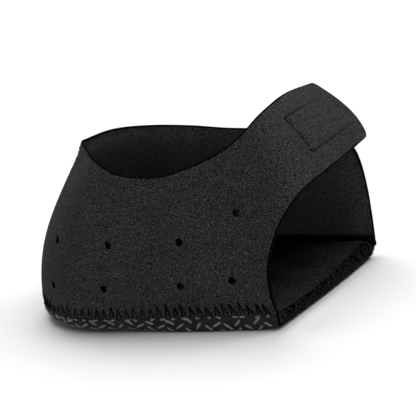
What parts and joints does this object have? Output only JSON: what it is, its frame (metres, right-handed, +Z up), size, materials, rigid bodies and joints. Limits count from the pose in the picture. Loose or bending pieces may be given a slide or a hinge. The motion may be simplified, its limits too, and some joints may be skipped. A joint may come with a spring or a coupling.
{
  "type": "heel protector",
  "caption": "Open heel cup of dark neoprene on a cushioned anti-slip sole, with perforated sides and a strap that crosses the instep and fastens to the other side.",
  "frame": {"origin": "on the sole's flat underside, halfway along the sole and on its centre line", "axes": "+X towards the toes, +Y towards the side where the strap fastens, +Z up"},
  "size_m": [0.1308, 0.0823, 0.0754],
  "materials": {
    "neoprene": "matte knitted face on neoprene",
    "hook_tape": "hook tape",
    "anti_slip": "woven cloth with raised grip dashes",
    "lining": "smooth matte lining over foam",
    "binding": "rough short pile"
  },
  "bodies": {
    "root": {"side_panel_strap": "neoprene", "side_panel_landing": "neoprene", "hook_patch": "hook_tape", "outsole": "anti_slip", "insole_pad": "lining", "front_binding": "binding"}
  },
  "joints": []
}
